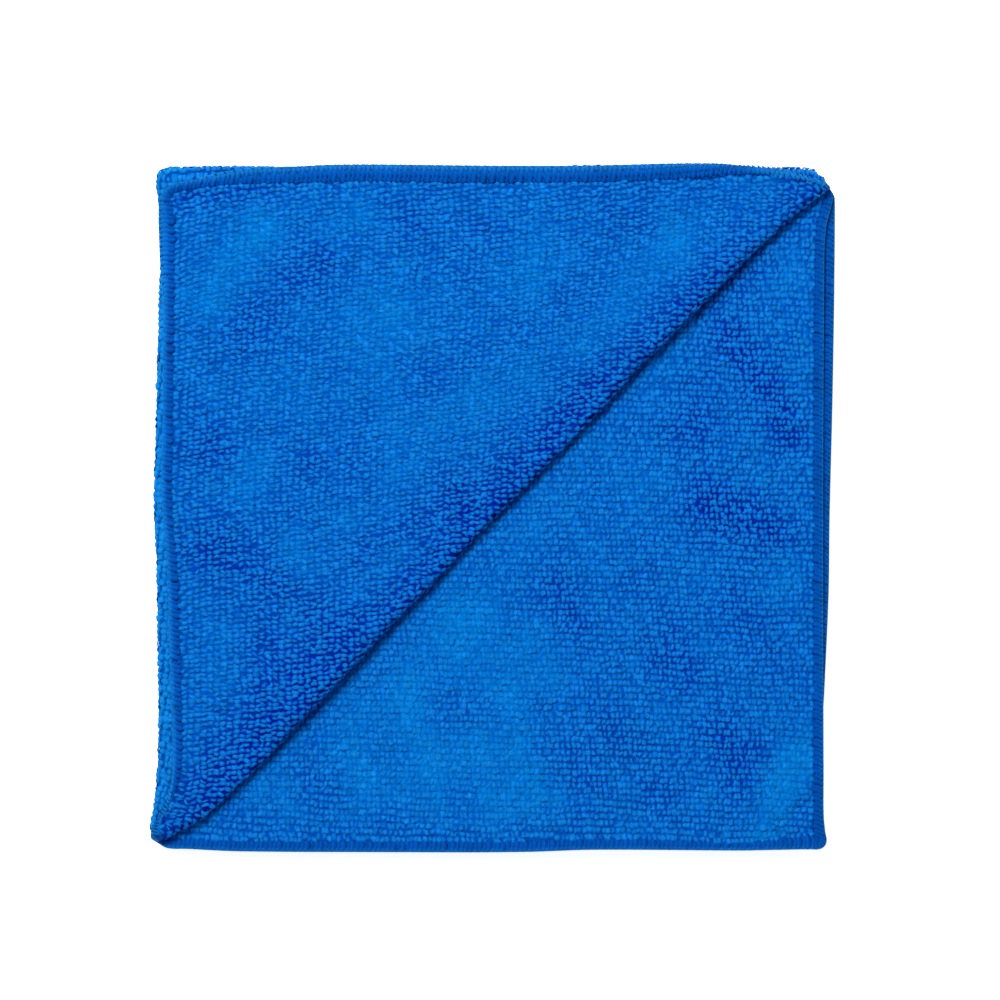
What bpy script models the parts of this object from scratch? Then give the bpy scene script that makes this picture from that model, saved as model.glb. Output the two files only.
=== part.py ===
"""Square microfibre cloth, folded in quarters, with the free corner of its top layer turned back.

The cloth is modelled as it is handled: a flat square slab is cut out, then its corner is turned
back over the diagonal, then the square is folded in half at the left edge, and in half again at
the back edge. Each fold is a function that bends points of the slab, so one solid goes through
all of the layers.

Frame: +Z up, origin on the surface under the middle of the folded cloth. The folded edges are at
-X (left) and +Y (back). The hems are at +X (right) and -Y (front).
"""
import math

import bmesh
import bpy
from mathutils import Vector

MM = 0.001

# Driving dimensions, in millimetres
CLOTH_SIDE = 400.0          # the square as hemmed, laid flat
SHEET_THICKNESS = 2.0       # ground with the pile of both faces
LAYER_PITCH = 2.4           # from the middle of one layer to the middle of the next
HEM_CORNER_RADIUS = 4.0     # rounding of the four sewn corners
SETTLE_LENGTH = 20.0        # the turned-back corner comes down onto its layer in this length
EVEN_OUT_LENGTH = 28.0      # the bend's own unevenness dies out in this length
BACK_RIGHT_PULL = 3.4       # how far the back right corner is drawn in, each way
BACK_RIGHT_REACH = 10.0     # and over what length
BACK_LEFT_PULL = 0.9
BACK_LEFT_REACH = 6.0

HALF = CLOTH_SIDE / 2
LEFT_BEND = LAYER_PITCH / 2         # radius of the left fold, to the middle of the sheet
BACK_BEND = LAYER_PITCH             # radius of the back fold, to the middle of the two layers
SKIN = SHEET_THICKNESS / 2

# Bend of the turned-back corner, a row for each place along the diagonal.
# along: from the middle of the diagonal towards the back right corner
# start: where the bend starts, from the straight diagonal towards the front right corner
# radius: of the bend, to the middle of the sheet
CORNER_BEND = (
    dict(along=-143, start=-0.4, radius=1.20),
    dict(along=-139, start=-2.6, radius=1.20),
    dict(along=-133, start=-0.9, radius=1.25),
    dict(along=-127, start=0.6, radius=1.40),
    dict(along=-118, start=1.3, radius=1.30),
    dict(along=-106, start=1.2, radius=1.20),
    dict(along=-95, start=0.7, radius=1.50),
    dict(along=-85, start=-0.7, radius=2.40),
    dict(along=-63, start=-1.1, radius=2.40),
    dict(along=-40, start=-1.4, radius=2.00),
    dict(along=-29, start=-0.8, radius=1.50),
    dict(along=-8, start=-1.0, radius=1.20),
    dict(along=14, start=-1.0, radius=1.30),
    dict(along=36, start=-1.3, radius=1.20),
    dict(along=47, start=-1.9, radius=1.50),
    dict(along=58, start=-3.2, radius=2.10),
    dict(along=70, start=-3.3, radius=2.40),
    dict(along=92, start=-3.8, radius=2.50),
    dict(along=104, start=-4.1, radius=2.40),
    dict(along=114, start=-3.0, radius=1.75),
    dict(along=124, start=-1.9, radius=1.40),
    dict(along=133, start=-0.6, radius=1.30),
    dict(along=143, start=0.0, radius=1.40),
)
EVEN_START = -0.7           # what the bend evens out to, away from itself
EVEN_RADIUS = 1.75

# How far each hem lies outside its straight line. Along the right and left sides of the flat
# cloth, at is measured from the back fold, and along the front and back sides from the left fold.
# Right side of the flat cloth: layer 3 below zero, layer 2 above it.
RIGHT_HEM = (
    dict(at=-200, out=-4.4), dict(at=-190, out=-5.0), dict(at=-168, out=-5.1), dict(at=-154, out=-4.4),
    dict(at=-127, out=-3.2), dict(at=-104, out=-2.9), dict(at=-69, out=-2.1), dict(at=-32, out=-1.5),
    dict(at=0, out=-1.4), dict(at=8, out=-1.9), dict(at=18, out=-4.2), dict(at=32, out=-4.7),
    dict(at=100, out=-5.0), dict(at=180, out=-4.9), dict(at=193, out=-4.6), dict(at=200, out=-3.0),
)
# Left side of the flat cloth: layer 4 below zero, the top layer above it.
LEFT_HEM = (
    dict(at=-200, out=-5.2), dict(at=-160, out=-5.4), dict(at=-120, out=-4.1), dict(at=-70, out=-2.8),
    dict(at=-30, out=-2.4), dict(at=0, out=-1.6), dict(at=5, out=-1.8), dict(at=12, out=-1.6),
    dict(at=22, out=-1.4), dict(at=36, out=-0.5), dict(at=60, out=0.4), dict(at=110, out=0.9),
    dict(at=150, out=1.0), dict(at=162, out=0.7), dict(at=174, out=0.4), dict(at=186, out=-0.5),
    dict(at=194, out=-1.8), dict(at=200, out=-3.0),
)
# Front side of the flat cloth: the top layer below zero, layer 2 above it.
FRONT_HEM = (
    dict(at=-200, out=1.4), dict(at=-189, out=1.9), dict(at=-165, out=1.1), dict(at=-121, out=0.6),
    dict(at=-77, out=-0.6), dict(at=-30, out=-0.4), dict(at=-14, out=-0.4), dict(at=-5, out=-1.9),
    dict(at=0, out=-3.3), dict(at=4, out=-1.0), dict(at=10, out=-0.7), dict(at=26, out=0.0),
    dict(at=80, out=0.2), dict(at=110, out=0.1), dict(at=130, out=-0.5), dict(at=173, out=-0.3),
    dict(at=186, out=-0.5), dict(at=194, out=-0.6), dict(at=200, out=-0.4),
)
# Back side of the flat cloth: layer 4 below zero, layer 3 above it.
BACK_HEM = (
    dict(at=-200, out=-2.8), dict(at=-150, out=-1.4), dict(at=-80, out=-2.3), dict(at=-20, out=-2.0),
    dict(at=0, out=-3.2), dict(at=20, out=-2.8), dict(at=90, out=-1.7), dict(at=150, out=-2.4),
    dict(at=200, out=-3.6),
)

# How far the two folded edges lie inside their straight lines.
# Left edge, from the back towards the front
LEFT_EDGE = (
    dict(at=0, into=0.0), dict(at=5, into=0.4), dict(at=9, into=0.9), dict(at=13, into=1.9),
    dict(at=20, into=2.2), dict(at=30, into=1.7), dict(at=55, into=0.9), dict(at=76, into=0.5),
    dict(at=92, into=-0.1), dict(at=100, into=-0.1), dict(at=116, into=0.6), dict(at=140, into=0.9),
    dict(at=160, into=1.3), dict(at=174, into=0.9), dict(at=186, into=0.0), dict(at=193, into=-1.2),
    dict(at=197, into=-1.0), dict(at=200, into=-0.6),
)
# Back edge, from the left towards the right
BACK_EDGE = (
    dict(at=0, into=0.6), dict(at=20, into=0.4), dict(at=45, into=0.6), dict(at=60, into=0.5),
    dict(at=90, into=0.6), dict(at=120, into=0.4), dict(at=140, into=0.1), dict(at=164, into=0.4),
    dict(at=172, into=0.9), dict(at=185, into=0.9), dict(at=200, into=0.6),
)

# Soft swells and hollows of the stack, from the back left corner, with their height on top
SWELLS = (
    dict(x=28, y=28, reach=26, height=0.35),
    dict(x=55, y=62, reach=24, height=-0.35),
    dict(x=85, y=52, reach=30, height=0.40),
    dict(x=60, y=110, reach=30, height=0.30),
    dict(x=130, y=30, reach=26, height=-0.25),
    dict(x=112, y=150, reach=34, height=0.35),
    dict(x=160, y=120, reach=26, height=-0.35),
    dict(x=172, y=168, reach=22, height=0.30),
    dict(x=60, y=178, reach=24, height=-0.20),
)
# Low ridge across the front right corner, drawn up by its hem
RIDGE = dict(x=186.0, y=186.0, length=13.0, width=2.6, height=1.5)

# Places where the layers above a gap stand off the layer below it, mostly along the hems.
# gap: 1 is between the two lowest layers, 4 is under the turned-back corner
LIFTS = (
    dict(gap=1, x=196, y=70, reach=34, height=0.5),
    dict(gap=1, x=197, y=168, reach=22, height=0.7),
    dict(gap=1, x=120, y=200, reach=40, height=0.6),
    dict(gap=1, x=40, y=200, reach=20, height=0.4),
    dict(gap=2, x=197, y=40, reach=18, height=0.2),
    dict(gap=2, x=196, y=125, reach=30, height=0.3),
    dict(gap=2, x=172, y=200, reach=22, height=0.8),
    dict(gap=2, x=85, y=200, reach=30, height=1.0),
    dict(gap=4, x=6, y=8, reach=14, height=0.5),
    dict(gap=4, x=2, y=90, reach=20, height=0.4),
    dict(gap=4, x=3, y=150, reach=16, height=0.3),
    dict(gap=4, x=70, y=2, reach=22, height=0.4),
)

STACK_HEIGHT = 4 * LAYER_PITCH + SHEET_THICKNESS

# Cuts through the flat slab, so that it can bend where the folds are
FLAT_CUTS = (7, 16, 32, 54, 76, 98, 120, 142, 160, 175, 186, 193, 197, 199)
LEFT_BEND_CUTS = 8
BACK_BEND_CUTS = 8
CORNER_CUT_FIRST = -3.4
CORNER_CUT_LAST = 8.8
CORNER_CUT_STEP = 0.76
SETTLE_CUTS = (12.0, 17.0, 24.0)
SHORTEST_EDGE = 0.25


def smooth_step(share):
    share = min(1.0, max(0.0, share))
    return share * share * (3 - 2 * share)


def fade(distance, length):
    return math.exp(-((distance / length) ** 2))


def read_row(table, key, column, at):
    """Value of a column between the table's rows, on a smooth curve through them."""
    if at <= table[0][key]:
        return table[0][column]
    if at >= table[-1][key]:
        return table[-1][column]
    i = next(n for n in range(len(table) - 1) if at <= table[n + 1][key])
    before = table[max(i - 1, 0)]
    low = table[i]
    high = table[i + 1]
    after = table[min(i + 2, len(table) - 1)]
    span = high[key] - low[key]
    share = (at - low[key]) / span
    slope_low = (high[column] - before[column]) / (high[key] - before[key]) * span
    slope_high = (after[column] - low[column]) / (after[key] - low[key]) * span
    square = share * share
    cube = square * share
    return (
        low[column] * (2 * cube - 3 * square + 1)
        + slope_low * (cube - 2 * square + share)
        + high[column] * (3 * square - 2 * cube)
        + slope_high * (cube - square)
    )


def shape_hems(across, along):
    """Moves a point of the flat cloth so that the hems wander off their straight lines."""
    side_hem = RIGHT_HEM if across > 0 else LEFT_HEM
    end_hem = FRONT_HEM if along > 0 else BACK_HEM
    side_out = read_row(side_hem, "at", "out", along) * across / HALF
    end_out = read_row(end_hem, "at", "out", across) * along / HALF
    return across + side_out, along + end_out


def turn_corner(across, along, lift):
    """Turns the corner at -across, +along back over the diagonal, onto the outer face."""
    root2 = math.sqrt(2)
    run = (-across - along) / root2
    past = (-across + along - HALF) / root2
    start = read_row(CORNER_BEND, "along", "start", run)
    radius = read_row(CORNER_BEND, "along", "radius", run)
    beyond = past - start
    if beyond <= 0:
        return across, along, lift
    arc = math.pi * radius
    if beyond < arc:
        angle = beyond / radius
        past = start + (radius - lift) * math.sin(angle)
        lift = radius - (radius - lift) * math.cos(angle)
    else:
        back = beyond - arc
        uneven = 2 * (EVEN_START - start) + math.pi * (EVEN_RADIUS - radius)
        past = start - back + uneven * (1 - fade(back, EVEN_OUT_LENGTH))
        settled = smooth_step(back / SETTLE_LENGTH)
        lift = 2 * radius + (LAYER_PITCH - 2 * radius) * settled - lift
    total = past * root2 + HALF
    across = -(total + run * root2) / 2
    along = (total - run * root2) / 2
    return across, along, lift


def fold_left(across, lift):
    """Folds the cloth in half at its left edge. Returns the distance right of the bend's centre
    and the height above the middle of the two layers."""
    quarter = LEFT_BEND * math.pi / 2
    if abs(across) < quarter:
        angle = across / LEFT_BEND
        return -(LEFT_BEND + lift) * math.cos(angle), (LEFT_BEND + lift) * math.sin(angle)
    side = math.copysign(1, across)
    return abs(across) - quarter, side * (LEFT_BEND + lift)


def fold_back(along, height):
    """Folds the doubled cloth in half at its back edge. Returns the distance in front of the
    bend's centre and the height above it."""
    quarter = BACK_BEND * math.pi / 2
    if abs(along) < quarter:
        angle = along / BACK_BEND
        return -(BACK_BEND - height) * math.cos(angle), (BACK_BEND - height) * math.sin(angle)
    side = math.copysign(1, along)
    return abs(along) - quarter, side * (BACK_BEND - height)


def shape_outline(x, y):
    """Moves a point of the folded cloth, seen from above, to its uneven outline."""
    into_left = read_row(LEFT_EDGE, "at", "into", y) * max(0.0, 1 - x / HALF)
    into_back = read_row(BACK_EDGE, "at", "into", x) * max(0.0, 1 - y / HALF)
    right_pull = (
        BACK_RIGHT_PULL
        * (1 - smooth_step((HALF - x) / BACK_RIGHT_REACH))
        * (1 - smooth_step(y / BACK_RIGHT_REACH))
    )
    left_pull = (
        BACK_LEFT_PULL
        * (1 - smooth_step(x / BACK_LEFT_REACH))
        * (1 - smooth_step(y / BACK_LEFT_REACH))
    )
    return x + into_left - right_pull + left_pull, y + into_back + right_pull + left_pull


def swell(x, y):
    """Height of the soft swells on top of the stack."""
    height = 0.0
    for row in SWELLS:
        height += row["height"] * fade(math.hypot(x - row["x"], y - row["y"]), row["reach"])
    run = (x - RIDGE["x"] - (y - RIDGE["y"])) / math.sqrt(2)
    off = (x - RIDGE["x"] + (y - RIDGE["y"])) / math.sqrt(2)
    return height + RIDGE["height"] * fade(run, RIDGE["length"]) * fade(off, RIDGE["width"])


def lift_layers(x, y, z):
    """Height of a point once the layers over each gap have been lifted off the layer below."""
    lifted = z
    for row in LIFTS:
        above = (z - row["gap"] * LAYER_PITCH) / (LAYER_PITCH - SHEET_THICKNESS) + 1
        share = smooth_step(above)
        lifted += row["height"] * share * fade(math.hypot(x - row["x"], y - row["y"]), row["reach"])
    return lifted


def place(point):
    """Carries a point of the flat slab to its place in the folded cloth, in metres."""
    across, along = shape_hems(point.x, point.y)
    across, along, lift = turn_corner(across, along, point.z)
    x, height = fold_left(across, lift)
    y, z = fold_back(along, height)
    x += LEFT_BEND + SKIN
    y += BACK_BEND + LEFT_BEND + SKIN
    z += BACK_BEND + LEFT_BEND + SKIN
    x, y = shape_outline(x, y)
    z = lift_layers(x, y, z) * (1 + swell(x, y) / STACK_HEIGHT)
    return Vector((x, -y, z)) * MM


def cut_along(slab, faces, point, normal):
    """Cuts the given faces along a line through the point."""
    edges = {edge for face in faces for edge in face.edges}
    verts = {vert for face in faces for vert in face.verts}
    geometry = list(faces) + list(edges) + list(verts)
    bmesh.ops.bisect_plane(slab, geom=geometry, plane_co=point, plane_no=normal, dist=1e-4)


def bend_places(radius, cuts):
    """Places of the cuts through a half-turn bend, on both sides of its middle."""
    quarter = radius * math.pi / 2
    return [quarter * (2 * n / cuts - 1) for n in range(cuts + 1)]


def cut_slab(slab):
    """Cuts the flat square into strips that can follow the three folds."""
    flat_spots = [side * spot for spot in FLAT_CUTS for side in (-1, 1)]
    for spot in flat_spots + bend_places(LEFT_BEND, LEFT_BEND_CUTS):
        cut_along(slab, slab.faces, (spot, 0, 0), (1, 0, 0))
    for spot in flat_spots + bend_places(BACK_BEND, BACK_BEND_CUTS):
        cut_along(slab, slab.faces, (0, spot, 0), (0, 1, 0))
    cuts = round((CORNER_CUT_LAST - CORNER_CUT_FIRST) / CORNER_CUT_STEP)
    corner_spots = [CORNER_CUT_FIRST + n * CORNER_CUT_STEP for n in range(cuts + 1)]
    for past in corner_spots + list(SETTLE_CUTS):
        middle = HALF / 2 + past / math.sqrt(2)
        centres = {face: face.calc_center_median() for face in slab.faces}
        top_layer = [face for face, centre in centres.items() if centre.x < 0 < centre.y]
        cut_along(slab, top_layer, (-middle, middle, 0), (-1, 1, 0))


def make_slab():
    """Flat square slab of the sheet's thickness with rounded corners, in millimetres."""
    slab = bmesh.new()
    bmesh.ops.create_grid(slab, x_segments=1, y_segments=1, size=HALF)
    bmesh.ops.bevel(
        slab,
        geom=list(slab.verts),
        offset=HEM_CORNER_RADIUS,
        segments=3,
        profile=0.5,
        affect="VERTICES",
    )
    cut_slab(slab)
    bmesh.ops.remove_doubles(slab, verts=slab.verts, dist=SHORTEST_EDGE)
    bmesh.ops.triangulate(slab, faces=slab.faces)
    for vert in slab.verts:
        vert.co.z = -SKIN
    grown = bmesh.ops.extrude_face_region(slab, geom=list(slab.faces), use_keep_orig=True)
    for item in grown["geom"]:
        if isinstance(item, bmesh.types.BMVert):
            item.co.z = SKIN
    bmesh.ops.recalc_face_normals(slab, faces=slab.faces)
    bmesh.ops.triangulate(slab, faces=slab.faces)
    return slab


def cloth_material():
    material = bpy.data.materials.new("blue_microfibre")
    material.use_nodes = True
    shader = material.node_tree.nodes["Principled BSDF"]
    shader.inputs["Base Color"].default_value = (0.0, 0.14, 0.62, 1.0)
    shader.inputs["Roughness"].default_value = 0.9
    shader.inputs["Metallic"].default_value = 0.0
    return material


def make_cloth(collection):
    slab = make_slab()
    for vert in slab.verts:
        vert.co = place(vert.co)
    xs = [vert.co.x for vert in slab.verts]
    ys = [vert.co.y for vert in slab.verts]
    middle = Vector(((min(xs) + max(xs)) / 2, (min(ys) + max(ys)) / 2, 0))
    bmesh.ops.translate(slab, verts=slab.verts, vec=-middle)
    mesh = bpy.data.meshes.new("cloth")
    slab.to_mesh(mesh)
    slab.free()
    mesh.shade_smooth()
    mesh.set_sharp_from_angle(angle=math.radians(50))
    mesh.materials.append(cloth_material())
    cloth = bpy.data.objects.new("cloth", mesh)
    collection.objects.link(cloth)
    return cloth


def main():
    for old in list(bpy.data.objects):
        bpy.data.objects.remove(old, do_unlink=True)
    collection = bpy.data.collections.new("folded_microfibre_cloth")
    bpy.context.scene.collection.children.link(collection)
    make_cloth(collection)


main()
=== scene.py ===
import math

import bmesh
import bpy
import numpy as np
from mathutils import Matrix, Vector


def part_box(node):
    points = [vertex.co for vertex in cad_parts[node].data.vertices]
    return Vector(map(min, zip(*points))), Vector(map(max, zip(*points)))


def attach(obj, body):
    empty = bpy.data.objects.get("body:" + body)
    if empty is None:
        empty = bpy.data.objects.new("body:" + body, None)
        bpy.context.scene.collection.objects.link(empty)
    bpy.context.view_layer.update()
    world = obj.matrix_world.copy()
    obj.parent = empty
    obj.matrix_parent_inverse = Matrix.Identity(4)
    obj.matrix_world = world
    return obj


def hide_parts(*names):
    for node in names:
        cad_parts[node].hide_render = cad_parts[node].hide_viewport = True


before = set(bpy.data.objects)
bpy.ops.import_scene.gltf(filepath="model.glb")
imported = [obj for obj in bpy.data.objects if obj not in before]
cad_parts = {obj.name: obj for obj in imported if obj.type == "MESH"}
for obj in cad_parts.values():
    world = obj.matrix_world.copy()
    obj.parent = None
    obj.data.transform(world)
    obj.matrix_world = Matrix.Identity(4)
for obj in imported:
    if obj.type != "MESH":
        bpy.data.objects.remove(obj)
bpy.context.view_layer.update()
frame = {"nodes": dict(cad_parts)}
print("frame loaded:", ", ".join(frame["nodes"]))

mm = 0.001
root2 = math.sqrt(2)

# The square as it is cut, hemmed and folded: lengths in millimetres
cloth = {
    "side": 400.0,
    "thickness": 2.0,           # over the pile of both faces
    "layerPitch": 2.4,          # from the middle of one layer to the middle of the next
    "cornerRadius": 4.0,
    "settleLength": 20.0,       # the turned corner comes down onto its layer in this length
    "evenOutLength": 28.0,
    "evenStart": -0.7,
    "evenRadius": 1.75,
    "backRightPull": 3.4,       # how far the back right corner is drawn in
    "backRightReach": 10.0,
    "backLeftPull": 0.9,
    "backLeftReach": 6.0,
}
half = cloth["side"] / 2
skin = cloth["thickness"] / 2
leftBend = cloth["layerPitch"] / 2
backBend = cloth["layerPitch"]
stackHeight = 4 * cloth["layerPitch"] + cloth["thickness"]

# Bend of the turned corner, from the front left end of the diagonal to the back right end
cornerBend = {
    "along": (-143, -139, -133, -127, -118, -106, -95, -85, -63, -40, -29, -8, 14, 36, 47, 58, 70, 92,
              104, 114, 124, 133, 143),
    "start": (-0.4, -2.6, -0.9, 0.6, 1.3, 1.2, 0.7, -0.7, -1.1, -1.4, -0.8, -1.0, -1.0, -1.3, -1.9,
              -3.2, -3.3, -3.8, -4.1, -3.0, -1.9, -0.6, 0.0),
    "radius": (1.2, 1.2, 1.25, 1.4, 1.3, 1.2, 1.5, 2.4, 2.4, 2.0, 1.5, 1.2, 1.3, 1.2, 1.5, 2.1, 2.4,
               2.5, 2.4, 1.75, 1.4, 1.3, 1.4),
}

# How far each hem of the flat cloth lies outside its straight line
rightHem = {
    "at": (-200, -190, -168, -154, -127, -104, -69, -32, 0, 8, 18, 32, 100, 180, 193, 200),
    "out": (-4.4, -5.0, -5.1, -4.4, -3.2, -2.9, -2.1, -1.5, -1.4, -1.9, -4.2, -4.7, -5.0, -4.9, -4.6, -3.0),
}
leftHem = {
    "at": (-200, -160, -120, -70, -30, 0, 5, 12, 22, 36, 60, 110, 150, 162, 174, 186, 194, 200),
    "out": (-5.2, -5.4, -4.1, -2.8, -2.4, -1.6, -1.8, -1.6, -1.4, -0.5, 0.4, 0.9, 1.0, 0.7, 0.4, -0.5,
            -1.8, -3.0),
}
frontHem = {
    "at": (-200, -189, -165, -121, -77, -30, -14, -5, 0, 4, 10, 26, 80, 110, 130, 173, 186, 194, 200),
    "out": (1.4, 1.9, 1.1, 0.6, -0.6, -0.4, -0.4, -1.9, -3.3, -1.0, -0.7, 0.0, 0.2, 0.1, -0.5, -0.3,
            -0.5, -0.6, -0.4),
}
backHem = {
    "at": (-200, -150, -80, -20, 0, 20, 90, 150, 200),
    "out": (-2.8, -1.4, -2.3, -2.0, -3.2, -2.8, -1.7, -2.4, -3.6),
}

# How far the two folded edges lie inside their straight lines
leftEdge = {
    "at": (0, 5, 9, 13, 20, 30, 55, 76, 92, 100, 116, 140, 160, 174, 186, 193, 197, 200),
    "into": (0.0, 0.4, 0.9, 1.9, 2.2, 1.7, 0.9, 0.5, -0.1, -0.1, 0.6, 0.9, 1.3, 0.9, 0.0, -1.2, -1.0, -0.6),
}
backEdge = {
    "at": (0, 20, 45, 60, 90, 120, 140, 164, 172, 185, 200),
    "into": (0.6, 0.4, 0.6, 0.5, 0.6, 0.4, 0.1, 0.4, 0.9, 0.9, 0.6),
}

# Soft swells and hollows of the stack, from the back left corner
swells = {
    "x": (28, 55, 85, 60, 130, 112, 160, 172, 60),
    "y": (28, 62, 52, 110, 30, 150, 120, 168, 178),
    "reach": (26, 24, 30, 30, 26, 34, 26, 22, 24),
    "height": (0.35, -0.35, 0.40, 0.30, -0.25, 0.35, -0.35, 0.30, -0.20),
}
ridge = {"x": 186.0, "y": 186.0, "length": 13.0, "width": 2.6, "height": 1.5}

# Where the layers above a gap stand off the layer below it
lifts = {
    "gap": (1, 1, 1, 1, 2, 2, 2, 2, 4, 4, 4, 4),
    "x": (196, 197, 120, 40, 197, 196, 172, 85, 6, 2, 3, 70),
    "y": (70, 168, 200, 200, 40, 125, 200, 200, 8, 90, 150, 2),
    "reach": (34, 22, 40, 20, 18, 30, 22, 30, 14, 20, 16, 22),
    "height": (0.5, 0.7, 0.6, 0.4, 0.2, 0.3, 0.8, 1.0, 0.5, 0.4, 0.3, 0.4),
}


def smoothStep(share):
    share = np.clip(share, 0, 1)
    return share * share * (3 - 2 * share)


def fade(distance, length):
    return np.exp(-((distance / length) ** 2))


def readCurve(table, column, at, key="at"):
    # smooth curve through the table's columns, held beyond its ends
    keys = np.array(table[key], float)
    values = np.array(table[column], float)
    at = np.clip(at, keys[0], keys[-1])
    low = np.clip(np.searchsorted(keys, at, side="left") - 1, 0, len(keys) - 2)
    before = np.maximum(low - 1, 0)
    high = low + 1
    after = np.minimum(low + 2, len(keys) - 1)
    span = keys[high] - keys[low]
    share = (at - keys[low]) / span
    slopeLow = (values[high] - values[before]) / (keys[high] - keys[before]) * span
    slopeHigh = (values[after] - values[low]) / (keys[after] - keys[low]) * span
    square = share * share
    cube = square * share
    return (
        values[low] * (2 * cube - 3 * square + 1)
        + slopeLow * (cube - 2 * square + share)
        + values[high] * (3 * square - 2 * cube)
        + slopeHigh * (cube - square)
    )


def shapeHems(across, along):
    sideOut = np.where(across > 0, readCurve(rightHem, "out", along), readCurve(leftHem, "out", along))
    endOut = np.where(along > 0, readCurve(frontHem, "out", across), readCurve(backHem, "out", across))
    return across + sideOut * across / half, along + endOut * along / half


def bendAt(across, along):
    # distance past the diagonal, with the bend's start and radius there
    run = (-across - along) / root2
    past = (-across + along - half) / root2
    start = readCurve(cornerBend, "start", run, "along")
    radius = readCurve(cornerBend, "radius", run, "along")
    return run, past, start, radius


def turnCorner(across, along, lift):
    run, past, start, radius = bendAt(across, along)
    beyond = past - start
    arc = math.pi * radius
    angle = np.clip(beyond / radius, 0, math.pi)
    bentPast = start + (radius - lift) * np.sin(angle)
    bentLift = radius - (radius - lift) * np.cos(angle)
    back = np.maximum(beyond - arc, 0)
    uneven = 2 * (cloth["evenStart"] - start) + math.pi * (cloth["evenRadius"] - radius)
    flatPast = start - back + uneven * (1 - fade(back, cloth["evenOutLength"]))
    settled = smoothStep(back / cloth["settleLength"])
    flatLift = 2 * radius + (cloth["layerPitch"] - 2 * radius) * settled - lift
    inBend = beyond < arc
    newPast = np.where(inBend, bentPast, flatPast)
    total = newPast * root2 + half
    turned = beyond > 0
    return (
        np.where(turned, -(total + run * root2) / 2, across),
        np.where(turned, (total - run * root2) / 2, along),
        np.where(turned, np.where(inBend, bentLift, flatLift), lift),
    )


def foldOver(at, bend, reach):
    # how far in from a fold and how high a strip of the cloth comes to lie
    quarter = bend * math.pi / 2
    angle = np.clip(at, -quarter, quarter) / bend
    bent = np.abs(at) < quarter
    return (
        np.where(bent, -reach * np.cos(angle), np.abs(at) - quarter),
        np.where(bent, reach * np.sin(angle), np.sign(at) * reach),
    )


def shapeOutline(x, y):
    intoLeft = readCurve(leftEdge, "into", y) * np.maximum(0, 1 - x / half)
    intoBack = readCurve(backEdge, "into", x) * np.maximum(0, 1 - y / half)
    reach = cloth["backRightReach"]
    rightPull = cloth["backRightPull"] * (1 - smoothStep((half - x) / reach)) * (1 - smoothStep(y / reach))
    reach = cloth["backLeftReach"]
    leftPull = cloth["backLeftPull"] * (1 - smoothStep(x / reach)) * (1 - smoothStep(y / reach))
    return x + intoLeft - rightPull + leftPull, y + intoBack + rightPull + leftPull


def swellAt(x, y):
    height = np.zeros_like(x)
    for swellX, swellY, reach, rise in zip(*swells.values()):
        height += rise * fade(np.hypot(x - swellX, y - swellY), reach)
    run = (x - ridge["x"] - (y - ridge["y"])) / root2
    off = (x - ridge["x"] + (y - ridge["y"])) / root2
    return height + ridge["height"] * fade(run, ridge["length"]) * fade(off, ridge["width"])


def liftLayers(x, y, z):
    pitch = cloth["layerPitch"]
    lifted = z.copy()
    for gap, liftX, liftY, reach, rise in zip(*lifts.values()):
        above = (z - gap * pitch) / (pitch - cloth["thickness"]) + 1
        lifted += rise * smoothStep(above) * fade(np.hypot(x - liftX, y - liftY), reach)
    return lifted


def foldCloth(across, along, lift):
    # carries places of the flat cloth to the folded one, from its back left corner
    across, along = shapeHems(across, along)
    across, along, lift = turnCorner(across, along, lift)
    x, height = foldOver(across, leftBend, leftBend + lift)
    y, z = foldOver(along, backBend, backBend - height)
    x = x + leftBend + skin
    y = y + backBend + leftBend + skin
    z = z + backBend + leftBend + skin
    x, y = shapeOutline(x, y)
    z = liftLayers(x, y, z) * (1 + swellAt(x, y) / stackHeight)
    return np.stack([x, -y, z], axis=-1)


def findMiddle():
    # lines the folded cloth up with its place in the frame
    line = np.linspace(-half, half, 401)
    across, along = np.meshgrid(line, line)
    faces = [foldCloth(across, along, np.full_like(across, face)) for face in (-skin, skin)]
    points = np.concatenate([face.reshape(-1, 3) for face in faces])
    low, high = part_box("cloth")
    middle = (points.min(0) + points.max(0)) / 2
    return np.array([
        (low.x + high.x) / 2 - middle[0] * mm,
        (low.y + high.y) / 2 - middle[1] * mm,
        low.z - points[:, 2].min() * mm,
    ])


clothOffset = findMiddle()


def place(across, along, lift):
    across, along, lift = np.broadcast_arrays(across, along, lift)
    points = foldCloth(across.astype(float), along.astype(float), lift.astype(float))
    return points * mm + clothOffset


# Places of the flat cloth where the hem rolls over and shows narrower, or wider (below zero)
narrowHem = {
    "across": (-200, -12, 172, 200),
    "along": (8, 200, 200, 200),
    "reach": (30, 15, 14, 9),
    "by": (0.86, 0.72, 0.24, -0.40),
}
narrowSide = {"by": 0.12, "from": 20.0, "edge": 12.0, "soft": 6.0}     # the left hem in front of the fold


def hemShare(across, along):
    # how much of its full width the hem shows
    inFront = smoothStep(along / narrowSide["from"])
    atEdge = smoothStep((-across - half + narrowSide["edge"]) / narrowSide["soft"])
    rolled = narrowSide["by"] * inFront * atEdge
    for x, y, reach, by in zip(*narrowHem.values()):
        rolled = rolled + by * fade(np.hypot(across - x, along - y), reach)
    return 1 - rolled


def hemDistance(across, along):
    # how far inside the hemmed edge a place of the flat cloth lies
    inAcross = half - np.abs(across)
    inAlong = half - np.abs(along)
    radius = cloth["cornerRadius"]
    corner = radius - np.hypot(np.maximum(radius - inAcross, 0), np.maximum(radius - inAlong, 0))
    inCorner = (inAcross < radius) & (inAlong < radius)
    return np.where(inCorner, corner, np.minimum(inAcross, inAlong)) / hemShare(across, along)


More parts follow.
